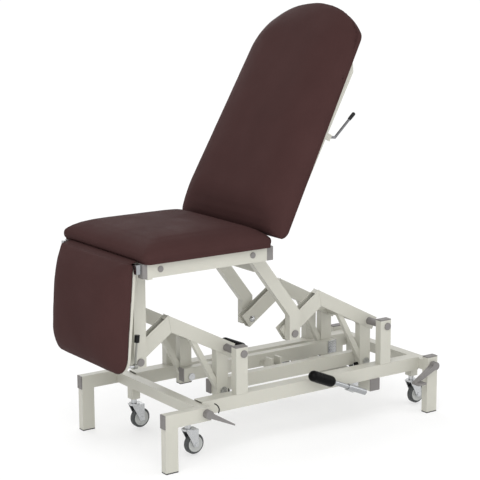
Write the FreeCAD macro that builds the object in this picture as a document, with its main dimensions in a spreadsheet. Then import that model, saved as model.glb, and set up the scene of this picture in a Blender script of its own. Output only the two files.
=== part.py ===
"""Height-adjustable treatment couch: base, two coupled lifting arms, seat, back and leg sections."""
import FreeCAD
import Part
import math
import os
import Sketcher

DOC = FreeCAD.newDocument("treatment_couch")
SHEET = DOC.addObject("Spreadsheet::Sheet", "Sizes")
NEAR_AND_FAR = (-1, 1)
WAYS = {"X": FreeCAD.Rotation(FreeCAD.Vector(0, 1, 0), 90),
        "Y": FreeCAD.Rotation(FreeCAD.Vector(1, 0, 0), -90),
        "Z": FreeCAD.Rotation()}

# Driving dimensions in millimetres and degrees; X runs foot to head, Z up from the floor
SIZES = {
    "base_middle": 62.83, "wall": 2, "gap": 1, "running": 0.05, "sketch_shift": 1000, "leg_reach": 621,
    "leg_outer": 307, "bar_deep": 50, "bar_thin": 30, "cap_thick": 4, "stub_low": 162,
    "head_leg_top": 221, "rail_outer": 249, "rail_wide": 50, "rail_low": 163, "cross_wide": 40,
    "cross_low": 167, "foot_cross_in": 168, "head_cross_in": 25, "pump_tube_x": 354,
    "pump_tube_wide": 46, "pump_tube_low": 117, "pin_x": -253, "pin_z": 359, "pin_pitch": 668,
    "pin_radius": 10, "pin_head": 14, "pin_head_thick": 4, "post_foot": 33, "post_top": 383,
    "arm_inner": 107, "hanger_inner": 138, "link_inner": 76, "arm_end_x": 40, "arm_end_z": 7,
    "elbow_x": -245, "elbow_z": 154, "short_top_x": -425, "short_top_z": 30, "short_low_x": -391,
    "short_low_z": -19, "crook_x": -232, "crook_z": 91, "arm_low_x": 17, "arm_low_z": -37, "t_x": -380,
    "t_z": 13, "l_x": -12, "l_z": -160, "lever_foot": -42, "lever_head": 8, "lever_low": -189,
    "beam_fall": 0.514, "lever_cap": 3, "brace_out": -150, "brace_in": -122, "brace_top": -108,
    "brace_low": -150, "brace_inset": 5, "torque_radius": 20, "torque_bore": 16, "buffer_radius": 8,
    "buffer_long": 12, "buffer_z": -170, "hanger_half": 24, "hanger_below": 22, "rear_bend_foot": 70,
    "rear_bend_head": 84, "rear_top_foot": -214, "rear_top_head": -156, "link_foot": -298,
    "link_head": 422, "link_deep": 50, "link_lift": 11, "link_tie_x": 60, "link_tie_radius": 12,
    "plate_long": 38, "plate_thick": 3, "seat_low": 692, "rail_foot": -662, "rail_head": -167,
    "rail_inset": 23, "seat_cap": 18, "tab_long": 20, "tab_thick": 5, "seat_cross_foot": -655,
    "seat_cross_head": -609, "hinge_block_head": -140, "plug_radius": 11, "plug_thick": 2,
    "plug_foot_x": -610, "plug_head_x": -228, "plug_z": 719, "brace_tube_foot": -130,
    "brace_tube_wide": 40, "brace_tube_low": 622, "seat_foot": -683, "seat_end": -152, "seat_half": 293,
    "seat_board": 15, "seat_soft": 11, "seat_crown": 51, "seat_corner": 20, "back_corner": 30,
    "leg_corner": 60, "leg_top_corner": 15, "soft_draw": 3, "board_in": 3, "board_step": 6,
    "crown_inset": 100, "back_pin_x": -110, "back_pin_z": 764, "back_rise": 62, "back_start": -5,
    "back_long": 901, "back_half": 328, "back_taper": 38, "back_board": 15, "back_soft": 10,
    "back_crown": 50, "back_deep": 35, "back_behind": 19, "back_tube_start": 40, "back_tube_end": 700,
    "back_tube_slope": 40, "back_tube_lift": 25, "back_bar": 30, "back_bar_high": 620,
    "back_shoulder": 45, "back_top_arc": 430, "ear_inner": 150, "ear_thick": 8, "ear_half": 8.5,
    "ear_foot": 13, "small_pin": 6, "hinge_lug": 16, "lug_half": 12, "leg_pin_out": 10,
    "leg_pin_z": 733, "leg_lean": 5, "leg_half": 244, "leg_start": -6, "leg_long": 389, "leg_behind": 2,
    "leg_board": 10, "leg_board_start": 14, "leg_soft": 17, "leg_crown": 44, "lug_thick": 8,
    "lug_inset": 39, "lug_deep": 10, "lug_front": 7.5, "lug_round": 8, "lug_long": 60, "hinge_long": 20,
    "hinge_wide": 16, "hinge_clear": 2, "hinge_low": 708, "hinge_top": 741, "castor_y": 185,
    "castor_tube": 34, "castor_tube_low": 122, "stem_radius": 11, "stem_low": 104, "stem_top": 152,
    "fork_plate": 7, "fork_wide": 40, "fork_cheek": 4, "trail": 25, "race_radius": 20, "fork_neck": 15,
    "fork_tail": 9, "tread_edge": 5, "bolt_radius": 8, "bolt_thick": 3, "wheel_radius": 37.5,
    "wheel_wide": 24, "wheel_z": 43, "axle_radius": 5, "swivel_radius": 6, "pedal_hub_z": 190,
    "pedal_hub_radius": 16, "pedal_hub_thick": 22, "pedal_arm": 105, "pedal_arm_drop": 58,
    "pedal_arm_wide": 24, "pedal_tip": 6, "pedal_rod_radius": 8, "pedal_pad_long": 40,
    "pedal_pad_thick": 8, "pedal_pad_wide": 40, "pump_pin_x": 262, "pump_pin_z": 140,
    "pump_rod_radius": 9, "pump_arm_y": 288, "pump_hub": 12, "pump_hub_back": 14, "pump_hub_long": 90,
    "pump_arm_long": 270, "pump_rise": 23, "pump_pad_long": 125, "pump_pad_radius": 21,
    "pump_pad_grip": 30, "barrel_radius": 18, "barrel_z": 182, "barrel_foot": 200, "barrel_head": 440,
    "ram_radius": 11, "ram_bore": 11.5, "ram_inside": 100, "ram_yoke_gap": 4, "ram_yoke_thick": 10,
    "ram_yoke_wide": 40, "ram_yoke_low": 164, "ram_yoke_top": 240, "bearing_half": 14, "rod_radius": 5,
    "handle_s": 408, "handle_drop": 12, "handle_hub": 9, "handle_out": 38, "handle_turn": 159,
    "handle_reach": 119, "handle_lean": 109, "handle_thick": 14, "bracket_half": 12, "bracket_thick": 6,
    "leg_lever_s": 352, "leg_lever_long": 110, "leg_lever_behind": 34, "leg_lever_in": 22,
    "leg_lever_rod": 3.5, "leg_hub_thick": 12, "leg_grip_long": 26, "leg_grip": 9, "slot_share": 0.92,
    "slot_deep": 4, "quarter_turn": 90,
}


class Size:
    """A driving dimension, or sums and products of them, as expression text and as a number."""

    def __init__(self, text, value):
        self.text = text
        self.value = float(value)

    def join(self, other, sign, value):
        return Size("(%s %s %s)" % (self.text, sign, size(other).text), value)

    def __add__(self, other):
        return self.join(other, "+", self.value + size(other).value)

    def __sub__(self, other):
        return self.join(other, "-", self.value - size(other).value)

    def __mul__(self, other):
        return self.join(other, "*", self.value * size(other).value)

    def __truediv__(self, other):
        return self.join(other, "/", self.value / size(other).value)

    def __neg__(self):
        return Size("(0 - %s)" % self.text, -self.value)


def size(value):
    return value if isinstance(value, Size) else Size("%g" % value, value)


def cosine(angle):
    return Size("cos(%s * 1 deg)" % angle.text, math.cos(math.radians(angle.value)))


def sine(angle):
    return Size("sin(%s * 1 deg)" % angle.text, math.sin(math.radians(angle.value)))


class Names:
    """The sheet's aliases as attributes."""


D = Names()
for row, (alias, amount) in enumerate(SIZES.items(), 1):
    SHEET.set("A%d" % row, alias)
    SHEET.set("B%d" % row, "%g" % amount)
    SHEET.setAlias("B%d" % row, alias)
    setattr(D, alias, Size("Sizes.%s" % alias, amount))
DOC.recompute()


def bind(item, prop, value):
    item.setExpression(prop, size(value).text)


def place(item, spot, turn=None):
    """Binds a position, and turns the item about Y by a bound angle if one is given."""
    if turn is not None:
        item.Placement = FreeCAD.Placement(FreeCAD.Vector(), FreeCAD.Rotation(FreeCAD.Vector(0, 1, 0), 1))
        bind(item, "Placement.Rotation.Angle", turn)
    for way, value in zip("xyz", spot):
        bind(item, "Placement.Base.%s" % way, value)


def box(low, high):
    item = DOC.addObject("Part::Box", "Box")
    for prop, a, b in zip(("Length", "Width", "Height"), low, high):
        bind(item, prop, size(b) - a)
    place(item, low)
    return item


def cylinder(start, way, long, radius):
    item = DOC.addObject("Part::Cylinder", "Cylinder")
    item.Placement = FreeCAD.Placement(FreeCAD.Vector(), WAYS[way])
    bind(item, "Radius", radius)
    bind(item, "Height", long)
    place(item, start)
    return item


def cone(start, way, long, radius, end_radius):
    item = DOC.addObject("Part::Cone", "Cone")
    item.Placement = FreeCAD.Placement(FreeCAD.Vector(), WAYS[way])
    bind(item, "Radius1", radius)
    bind(item, "Radius2", end_radius)
    bind(item, "Height", long)
    place(item, start)
    return item


def rod(start, turn, long, radius):
    """A round bar from a start point, turned from upright about Y."""
    item = DOC.addObject("Part::Cylinder", "Rod")
    bind(item, "Radius", radius)
    bind(item, "Height", long)
    place(item, start, turn)
    return item


def ball(middle, radius):
    item = DOC.addObject("Part::Sphere", "Ball")
    bind(item, "Radius", radius)
    place(item, middle)
    return item


def cut(item, tools):
    joined = tools[0] if len(tools) == 1 else fuse(tools)
    result = DOC.addObject("Part::Cut", "Cut")
    result.Base = item
    result.Tool = joined
    return result


def fuse(items):
    result = DOC.addObject("Part::MultiFuse", "Fusion")
    result.Shapes = items
    return result


def group(items):
    result = DOC.addObject("Part::Compound", "Group")
    result.Links = items
    return result


def tube(low, high, way):
    """A straight rectangular tube with open ends along one axis."""
    inner_low = [size(a) if w == way else size(a) + D.wall for w, a in zip("XYZ", low)]
    inner_high = [size(b) if w == way else size(b) - D.wall for w, b in zip("XYZ", high)]
    return cut(box(low, high), [box(inner_low, inner_high)])


def mirrored(sign, inner, outer):
    """The low and high Y of something between two distances on one side of the middle."""
    return (inner, outer) if sign > 0 else (-size(outer), -size(inner))


def sides(make, x_low, x_high, inner, outer, z_low, z_high, *more):
    items = []
    for sign in NEAR_AND_FAR:
        low, high = mirrored(sign, inner, outer)
        items.append(make((x_low, low, z_low), (x_high, high, z_high), *more))
    return items


def sketch_on_side(points):
    """A closed outline in X and Z, every corner bound to the sheet."""
    item = DOC.addObject("Sketcher::SketchObject", "Outline")
    item.Placement = FreeCAD.Placement(FreeCAD.Vector(), FreeCAD.Rotation(FreeCAD.Vector(1, 0, 0), 90))
    place(item, (-D.sketch_shift, 0, -D.sketch_shift))
    shifted = [(size(x) + D.sketch_shift, size(z) + D.sketch_shift) for x, z in points]
    count = len(shifted)
    spots = [FreeCAD.Vector(x.value, z.value, 0) for x, z in shifted]
    for i in range(count):
        item.addGeometry(Part.LineSegment(spots[i], spots[(i + 1) % count]))
    for i in range(count):
        item.addConstraint(Sketcher.Constraint("Coincident", i, 2, (i + 1) % count, 1))
    for i, (x, z) in enumerate(shifted):
        for kind, value in (("DistanceX", x), ("DistanceY", z)):
            number = item.addConstraint(Sketcher.Constraint(kind, -1, 1, i, 1, value.value))
            item.setExpression("Constraints[%d]" % number, value.text)
    return item


def prism(points, sign, inner, outer):
    """An outline in X and Z pushed through from one Y to another."""
    item = DOC.addObject("Part::Extrusion", "Prism")
    item.Base = sketch_on_side(points)
    item.DirMode = "Custom"
    item.Dir = FreeCAD.Vector(0, 1, 0)
    item.Solid = True
    bind(item, "LengthFwd", size(outer) - inner)
    low, _ = mirrored(sign, inner, outer)
    bind(item, "Placement.Base.y", low)
    return item


def hollow(item, ends):
    """Thins a bent bar to a tube, open at the faces nearest the named end points."""
    DOC.recompute()
    names = []
    for x, z in ends:
        def far(number):
            middle = item.Shape.Faces[number].CenterOfMass
            return math.hypot(middle.x - size(x).value, middle.z - size(z).value)
        sideways = [n for n, face in enumerate(item.Shape.Faces) if abs(face.normalAt(0, 0).y) < 0.5]
        names.append("Face%d" % (min(sideways, key=far) + 1))
    result = DOC.addObject("Part::Thickness", "Hollow")
    result.Faces = (item, names)
    result.Join = 2
    result.Value = -D.wall.value
    return result


PIECES = []


def piece(name, item):
    """Names a finished sub-part; the name is also its file name."""
    item.Label = name
    PIECES.append(item)
    return item


def at(x):
    """A distance along the couch from the middle of the base."""
    return size(x) + D.base_middle


def disc_ends(x, z, sign, inner, outer):
    """A pivot pin on one side with a round head outside."""
    low, high = mirrored(sign, inner, outer)
    head_low, head_high = mirrored(sign, outer, size(outer) + D.pin_head_thick)
    pin = cylinder((x, low, z), "Y", size(high) - low, D.pin_radius)
    head = cylinder((x, head_low, z), "Y", size(head_high) - head_low, D.pin_head)
    return [pin, head]


def bore(x, z, sign, inner, outer, radius):
    low, high = mirrored(sign, inner, outer)
    return cylinder((x, low, z), "Y", size(high) - low, radius)


# Base frame: outer legs on short rails, two cross tubes, inset main rails and posts
foot_face = at(-D.leg_reach)
head_face = at(D.leg_reach)
leg_inner = D.leg_outer - D.bar_thin
cross_half = D.cross_wide / 2
stub_top = D.stub_low + D.bar_deep
rail_top = D.rail_low + D.rail_wide
rail_inner = D.rail_outer - D.rail_wide
foot_cross = foot_face + D.foot_cross_in
head_cross = head_face - D.head_cross_in
post_inner = D.rail_outer - D.bar_thin
pin_xs = [at(D.pin_x), at(D.pin_x) + D.pin_pitch]
pin_fit = D.pin_radius + D.running
pedal_fit = D.pedal_rod_radius + D.running
arm_outer = D.arm_inner + D.bar_thin
hanger_outer = D.hanger_inner + D.bar_thin
link_outer = D.link_inner + D.bar_thin

piece("foot_legs", group(sides(tube, foot_face, foot_face + D.bar_deep, leg_inner, D.leg_outer,
                               D.cap_thick, D.stub_low, "Z")))
stubs = sides(tube, foot_face, foot_cross + cross_half, leg_inner, D.leg_outer, D.stub_low, stub_top, "X")
legs = sides(tube, head_face - D.bar_deep, head_face, leg_inner, D.leg_outer,
             D.cap_thick, D.head_leg_top, "Z")
for name, middle, tubes in (("stub_rails", foot_cross, stubs), ("head_legs", head_cross, legs)):
    piece(name, group([
        cut(item, [bore(middle, D.pedal_hub_z, sign, leg_inner, D.leg_outer, pedal_fit)])
        for sign, item in zip(NEAR_AND_FAR, tubes)]))
for name, middle in (("foot_cross_tube", foot_cross), ("head_cross_tube", head_cross)):
    piece(name, tube((middle - cross_half, -leg_inner, D.cross_low),
                     (middle + cross_half, leg_inner, D.cross_low + D.cross_wide), "Y"))
piece("main_rails", group(sides(tube, foot_cross + cross_half, head_cross - cross_half,
                                rail_inner, D.rail_outer, D.rail_low, rail_top, "X")))
posts = []
post_caps = []
pins = []
for pin_x in pin_xs:
    start = pin_x - D.post_foot
    uprights = sides(tube, start, start + D.bar_deep, post_inner, D.rail_outer, rail_top, D.post_top, "Z")
    posts += [cut(item, [bore(pin_x, D.pin_z, sign, post_inner, D.rail_outer, D.pin_radius)])
              for sign, item in zip(NEAR_AND_FAR, uprights)]
    post_caps += sides(box, start, start + D.bar_deep, post_inner, D.rail_outer,
                       D.post_top, D.post_top + D.cap_thick)
    for sign in NEAR_AND_FAR:
        collar_low, collar_high = mirrored(sign, arm_outer + D.gap, post_inner)
        collar = cylinder((pin_x, collar_low, D.pin_z), "Y", size(collar_high) - collar_low, D.pin_head)
        pins.append(fuse(disc_ends(pin_x, D.pin_z, sign, D.arm_inner, D.rail_outer) + [collar]))
piece("posts", group(posts))
piece("arm_pivots", group(pins))
pump_low = at(D.pump_tube_x) - D.pump_tube_wide / 2
pump_high = at(D.pump_tube_x) + D.pump_tube_wide / 2
piece("pump_cross_tube", tube((pump_low, -D.rail_outer, D.pump_tube_low),
                              (pump_high, D.rail_outer, D.rail_low), "Y"))
piece("base_caps", group(
    sides(box, foot_face - D.cap_thick, foot_face, leg_inner, D.leg_outer, D.stub_low, stub_top)
    + sides(box, head_face - D.bar_deep, head_face, leg_inner, D.leg_outer,
            D.head_leg_top, D.head_leg_top + D.cap_thick)
    + sides(box, pump_low, pump_high, D.rail_outer, D.rail_outer + D.cap_thick, D.pump_tube_low, D.rail_low)
    + sides(box, foot_face, foot_face + D.bar_deep, leg_inner, D.leg_outer, 0, D.cap_thick)
    + sides(box, head_face - D.bar_deep, head_face, leg_inner, D.leg_outer, 0, D.cap_thick)
    + post_caps))

# Castor guide tubes under the cross tubes, and the castors that the pedals push down
guides = []
for end, middle in (("foot", foot_cross), ("head", head_cross)):
    stems = []
    half = D.castor_tube / 2
    for sign, side in zip(NEAR_AND_FAR, ("near", "far")):
        castor_y = D.castor_y * sign
        shell = box((middle - half, castor_y - half, D.castor_tube_low),
                    (middle + half, castor_y + half, D.cross_low))
        guides.append(cut(shell, [cylinder((middle, castor_y, D.castor_tube_low), "Z",
                                           D.cross_low - D.castor_tube_low, D.stem_radius + D.running)]))
        stem = cylinder((middle, castor_y, D.stem_low), "Z", D.stem_top - D.stem_low, D.stem_radius)
        pivot = cylinder((middle, castor_y, D.stem_low - D.fork_plate - D.gap), "Z", D.fork_plate + D.gap,
                         D.swivel_radius)
        stems.append(fuse([stem, pivot]))
        plate_low = D.stem_low - D.gap / 2 - D.fork_plate
        wheel_x = middle + D.trail
        wide = D.fork_wide / 2
        crown = box((middle - D.fork_neck, castor_y - wide, plate_low),
                    (wheel_x + D.fork_tail, castor_y + wide, plate_low + D.fork_plate / 2))
        race = cylinder((middle, castor_y, plate_low), "Z", D.fork_plate, D.race_radius)
        cheek_low = D.wheel_z - D.fork_tail
        cheek = [(middle - D.fork_neck, plate_low), (wheel_x + D.fork_tail, plate_low),
                 (wheel_x + D.fork_tail, cheek_low), (wheel_x - D.fork_tail, cheek_low)]
        cheeks = [prism(cheek, sign, D.castor_y - wide, D.castor_y - wide + D.fork_cheek),
                  prism(cheek, sign, D.castor_y + wide - D.fork_cheek, D.castor_y + wide)]
        axle = cylinder((wheel_x, castor_y - wide, D.wheel_z), "Y", D.fork_wide, D.axle_radius)
        bolts = [cylinder((wheel_x, castor_y + low, D.wheel_z), "Y", D.bolt_thick, D.bolt_radius)
                 for low in (-wide - D.bolt_thick, wide)]
        hole = cylinder((middle, castor_y, plate_low), "Z", D.fork_plate, D.swivel_radius + D.running)
        piece("castor_fork_%s_%s" % (end, side), cut(fuse([crown, race, axle] + cheeks + bolts), [hole]))
        tread = D.wheel_wide / 2
        flat = D.wheel_radius - D.tread_edge
        tyre = fuse([cone((wheel_x, castor_y - tread, D.wheel_z), "Y", D.tread_edge, flat, D.wheel_radius),
                     cylinder((wheel_x, castor_y - tread + D.tread_edge, D.wheel_z), "Y",
                              D.wheel_wide - D.tread_edge * 2, D.wheel_radius),
                     cone((wheel_x, castor_y + tread - D.tread_edge, D.wheel_z), "Y", D.tread_edge,
                          D.wheel_radius, flat)])
        hub = cylinder((wheel_x, castor_y - tread, D.wheel_z), "Y", D.wheel_wide, D.axle_radius + D.running)
        piece("castor_wheel_%s_%s" % (end, side), cut(tyre, [hub]))
    piece("castor_stems_%s" % end, group(stems))
    way = 1 if end == "foot" else -1
    tip_x = middle + D.pedal_arm * way
    tip_z = D.pedal_hub_z - D.pedal_arm_drop
    hub_in = D.leg_outer + D.gap
    hub_out = hub_in + D.pedal_hub_thick
    parts = [cylinder((middle, -hub_in, D.pedal_hub_z), "Y", hub_in * 2, D.pedal_rod_radius)]
    for sign in NEAR_AND_FAR:
        low, high = mirrored(sign, hub_in, hub_out)
        parts.append(cylinder((middle, low, D.pedal_hub_z), "Y", D.pedal_hub_thick, D.pedal_hub_radius))
        wedge = [(middle, D.pedal_hub_z + D.pedal_arm_wide / 2), (tip_x, tip_z + D.pedal_tip),
                 (tip_x, tip_z), (middle, D.pedal_hub_z - D.pedal_arm_wide / 2)]
        parts.append(prism(wedge, sign, hub_in, hub_out))
        if end == "head":
            low, high = mirrored(sign, hub_in, hub_in + D.pedal_pad_wide)
            parts.append(box((tip_x, low, tip_z),
                             (tip_x + D.pedal_pad_long, high, tip_z + D.pedal_pad_thick)))
    piece("castor_pedal_%s" % end, fuse(parts))
piece("castor_guides", group(guides))

# Lifting arms: bent side tubes, levers, braces, a torque tube and limit buffers
for end, pin_x in zip(("front", "rear"), pin_xs):
    def off(x, z):
        return pin_x + x, D.pin_z + z

    def beam_under(x):
        """The beam's lower face, where levers and braces are welded on."""
        return D.arm_low_z - D.beam_fall * (size(x) - D.arm_low_x)

    outline = [off(D.arm_end_x, D.arm_end_z), off(D.elbow_x, D.elbow_z), off(D.short_top_x, D.short_top_z),
               off(D.short_low_x, D.short_low_z), off(D.crook_x, D.crook_z), off(D.arm_low_x, D.arm_low_z)]
    t_x, t_z = off(D.t_x, D.t_z)
    l_x, l_z = off(D.l_x, D.l_z)
    ends = [((outline[2][0] + outline[3][0]) / 2, (outline[2][1] + outline[3][1]) / 2),
            ((outline[0][0] + outline[5][0]) / 2, (outline[0][1] + outline[5][1]) / 2)]
    lever = [off(D.lever_foot, beam_under(D.lever_foot)), off(D.lever_head, beam_under(D.lever_head)),
             off(D.lever_head, D.lever_low), off(D.lever_foot, D.lever_low)]
    brace = [off(D.brace_out, beam_under(D.brace_out)), off(D.brace_in, beam_under(D.brace_in)),
             off(D.lever_foot, D.brace_top), off(D.lever_foot, D.brace_low)]
    slot_x = D.short_top_x + (D.elbow_x - D.short_top_x) * D.slot_share
    slot_z = D.short_top_z + (D.elbow_z - D.short_top_z) * D.slot_share
    slot = [off(D.short_top_x, D.short_top_z + D.slot_deep), off(slot_x, slot_z + D.slot_deep),
            off(slot_x, slot_z - D.slot_deep), off(D.short_top_x, D.short_top_z - D.slot_deep)]
    beams = []
    levers = []
    braces = []
    buffers = []
    for sign in NEAR_AND_FAR:
        beam = hollow(prism(outline, sign, D.arm_inner, arm_outer), ends)
        beams.append(cut(beam, [bore(pin_x, D.pin_z, sign, D.arm_inner, arm_outer, pin_fit),
                                bore(t_x, t_z, sign, D.arm_inner, arm_outer, pin_fit),
                                prism(slot, sign, D.arm_inner + D.wall, arm_outer - D.wall)]))
        arm = hollow(prism(lever, sign, D.arm_inner, arm_outer),
                     [(lever[2][0] - D.bar_deep / 2, lever[2][1])])
        levers.append(cut(arm, [bore(l_x, l_z, sign, D.arm_inner, arm_outer, pin_fit)]))
        braces.append(prism(brace, sign, D.arm_inner + D.brace_inset, arm_outer - D.brace_inset))
        middle_y = (D.arm_inner + D.bar_thin / 2) * sign
        buffer_x = off(D.lever_head, 0)[0] if end == "front" else off(D.lever_foot, 0)[0] - D.buffer_long
        buffers.append(cylinder((buffer_x, middle_y, D.pin_z + D.buffer_z), "X",
                                D.buffer_long, D.buffer_radius))
        low, high = mirrored(sign, D.arm_inner, arm_outer)
        buffers.append(box((lever[3][0], low, lever[3][1] - D.lever_cap), (lever[2][0], high, lever[2][1])))
    piece("%s_arm_beams" % end, group(beams))
    piece("%s_arm_levers" % end, group(levers))
    piece("%s_arm_braces" % end, group(braces))
    piece("%s_arm_buffers" % end, group(buffers))
    piece("%s_torque_tube" % end, cut(
        cylinder((pin_x, -D.arm_inner, D.pin_z), "Y", D.arm_inner * 2, D.torque_radius),
        [cylinder((pin_x, -D.arm_inner, D.pin_z), "Y", D.arm_inner * 2, D.torque_bore)]))

# Link bars between the levers, with their bolts, end caps, a tie tube and a plate
link_pin_z = D.pin_z + D.l_z
link_low = link_pin_z - D.link_deep / 2 + D.link_lift
link_high = link_low + D.link_deep
l_xs = [pin_x + D.l_x for pin_x in pin_xs]
bars = []
link_pins = []
for sign, bar in zip(NEAR_AND_FAR, sides(tube, at(D.link_foot), at(D.link_head), D.link_inner, link_outer,
                                         link_low, link_high, "X")):
    bars.append(cut(bar, [bore(x, link_pin_z, sign, D.link_inner, link_outer, D.pin_radius) for x in l_xs]))
    for x in l_xs:
        inner_low, inner_high = mirrored(sign, D.link_inner - D.pin_head_thick, D.link_inner)
        nut = cylinder((x, inner_low, link_pin_z), "Y", size(inner_high) - inner_low, D.pin_head)
        link_pins.append(fuse(disc_ends(x, link_pin_z, sign, D.link_inner, arm_outer + D.gap) + [nut]))
plate = box((at(D.link_head) - D.plate_long, D.link_inner - D.plate_thick, link_low),
            (at(D.link_head), D.link_inner, link_high))
piece("link_pins", group(link_pins + [plate]))
link_ends = (at(D.link_foot) - D.cap_thick, at(D.link_head))
piece("link_caps", group([item for x in link_ends for item in sides(
    box, x, x + D.cap_thick, D.link_inner, link_outer, link_low, link_high)]))
tie_x = at(D.link_tie_x)
tie = cylinder((tie_x, -D.link_inner, link_pin_z), "Y", D.link_inner * 2, D.link_tie_radius)
piece("link_bars", group(bars + [tie]))

# Foot pump: barrel and ram that push the tie tube, with a pedal on each side
barrel_long = D.barrel_head - D.barrel_foot
barrel_start = (at(D.barrel_foot), 0, D.barrel_z)
barrel = cylinder(barrel_start, "X", barrel_long, D.barrel_radius)
inside = cylinder(barrel_start, "X", barrel_long - D.ram_yoke_thick, D.ram_bore)
saddle = box((pump_low, -D.barrel_radius, D.rail_low), (pump_high, D.barrel_radius, D.barrel_z))
block = cut(saddle, [cylinder((pump_low, 0, D.barrel_z), "X", D.pump_tube_wide, D.barrel_radius)])
piece("pump_unit", group([cut(barrel, [inside]), block]))
yoke_in = D.link_tie_radius + D.ram_yoke_gap
yoke_out = yoke_in + D.ram_yoke_thick
yoke_half = D.ram_yoke_wide / 2
yoke = cut(box((tie_x - yoke_out, -yoke_half, D.ram_yoke_low), (tie_x + yoke_out, yoke_half, D.ram_yoke_top)),
           [box((tie_x - yoke_in, -yoke_half, D.ram_yoke_low + D.ram_yoke_thick),
                (tie_x + yoke_in, yoke_half, D.ram_yoke_top))])
ram_foot = tie_x + yoke_out
ram = cylinder((ram_foot, 0, D.barrel_z), "X", at(D.barrel_foot) + D.ram_inside - ram_foot, D.ram_radius)
piece("ram_rod", fuse([yoke, ram]))
pump_x = at(D.pump_pin_x)
bearings = sides(box, pump_x - D.bearing_half, pump_x + D.bearing_half, rail_inner + D.gap,
                 D.rail_outer - D.gap, D.pump_pin_z - D.bearing_half, D.rail_low)
piece("pump_bearings", group([
    cut(item, [bore(pump_x, D.pump_pin_z, sign, rail_inner, D.rail_outer, D.pump_rod_radius + D.running)])
    for sign, item in zip(NEAR_AND_FAR, bearings)]))
shaft = cylinder((pump_x, -D.pump_arm_y, D.pump_pin_z), "Y", D.pump_arm_y * 2, D.pump_rod_radius)
rise_c = cosine(D.pump_rise)
rise_s = sine(D.pump_rise)
pedal_turn = D.pump_rise - D.quarter_turn
hub_run = D.pump_hub_long - D.pump_hub_back
pad_run = D.pump_arm_long - D.pump_pad_long


def along_pedal(run, y):
    """A point a run along the pump pedal towards the foot."""
    return pump_x - rise_c * run, y, D.pump_pin_z + rise_s * run


arms = [shaft]
pads = []
for sign in NEAR_AND_FAR:
    pedal_y = D.pump_arm_y * sign
    neck = (along_pedal(hub_run, pedal_y), pedal_turn, pad_run + D.pump_pad_grip - hub_run,
            D.pump_rod_radius)
    arms += [rod(along_pedal(-D.pump_hub_back, pedal_y), pedal_turn, D.pump_hub_long, D.pump_hub), rod(*neck)]
    first, last = pad_run + D.pump_pad_radius, D.pump_arm_long - D.pump_pad_radius
    pad = fuse([rod(along_pedal(first, pedal_y), pedal_turn, last - first, D.pump_pad_radius)]
               + [ball(along_pedal(run, pedal_y), D.pump_pad_radius) for run in (first, last)])
    pads.append(cut(pad, [rod(*neck)]))
piece("pump_arms", fuse(arms))
piece("pump_pads", group(pads))

# Seat carrier: hangers down to the arms, rails, cross tubes and hinge parts
t_xs = [pin_x + D.t_x for pin_x in pin_xs]
t_z = D.pin_z + D.t_z
seat_top = D.seat_low + D.bar_deep
rail_outside = D.seat_half - D.rail_inset
rail_side = rail_outside - D.bar_thin
front_hangers = sides(tube, t_xs[0] - D.hanger_half, t_xs[0] + D.hanger_half, D.hanger_inner, hanger_outer,
                      t_z - D.hanger_below, D.seat_low, "Z")
rear_x = t_xs[1]
hanger_low = t_z - D.hanger_below
rear_points = [(rear_x - D.hanger_half, hanger_low), (rear_x + D.hanger_half, hanger_low),
               (rear_x + D.hanger_half, t_z + D.rear_bend_head), (rear_x + D.rear_top_head, D.seat_low),
               (rear_x + D.rear_top_foot, D.seat_low), (rear_x - D.hanger_half, t_z + D.rear_bend_foot)]
rear_ends = [(rear_x, hanger_low), (rear_x + (D.rear_top_head + D.rear_top_foot) / 2, D.seat_low)]
rear_hangers = [hollow(prism(rear_points, sign, D.hanger_inner, hanger_outer), rear_ends)
                for sign in NEAR_AND_FAR]
hanger_pins = []
for name, t_x, hangers in (("front_hangers", t_xs[0], front_hangers),
                           ("rear_hangers", rear_x, rear_hangers)):
    piece(name, group([cut(item, [bore(t_x, t_z, sign, D.hanger_inner, hanger_outer, D.pin_radius)])
                       for sign, item in zip(NEAR_AND_FAR, hangers)]))
    for sign in NEAR_AND_FAR:
        hanger_pins.append(fuse(disc_ends(t_x, t_z, sign, D.arm_inner, hanger_outer)))
piece("hanger_pins", group(hanger_pins))
piece("seat_rails", group(sides(tube, at(D.rail_foot), at(D.rail_head), rail_side, rail_outside,
                                D.seat_low, seat_top, "X")
                          + sides(box, at(D.rail_foot), at(D.rail_foot) + D.tab_long, rail_side, rail_outside,
                                  D.seat_low - D.tab_thick, D.seat_low)))
block_head = at(D.hinge_block_head)
piece("seat_cross_tubes", group([
    tube((at(D.seat_cross_foot), -rail_side, D.seat_low),
         (at(D.seat_cross_head), rail_side, seat_top), "Y"),
    tube((block_head - D.bar_deep, -rail_side, D.seat_low),
         (block_head, rail_side, seat_top), "Y"),
    tube((at(D.brace_tube_foot), -D.hanger_inner, D.brace_tube_low),
         (at(D.brace_tube_foot) + D.brace_tube_wide, D.hanger_inner,
          D.brace_tube_low + D.brace_tube_wide), "Y")]))
plugs = []
for sign in NEAR_AND_FAR:
    low, _ = mirrored(sign, rail_outside, rail_outside + D.plug_thick)
    plugs += [cylinder((at(x), low, D.plug_z), "Y", D.plug_thick, D.plug_radius)
              for x in (D.plug_foot_x, D.plug_head_x)]
piece("seat_caps", group(plugs
                         + sides(box, at(D.rail_foot) - D.seat_cap, at(D.rail_foot), rail_side, rail_outside,
                                 D.seat_low, seat_top)
                         + sides(box, at(D.rail_head), block_head, rail_side, rail_outside,
                                 D.seat_low, seat_top)))
ear_out = D.ear_inner + D.ear_thick
lug_in = ear_out + D.gap
lug_out = lug_in + D.hinge_lug
back_x = at(D.back_pin_x)
ears = []
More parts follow.
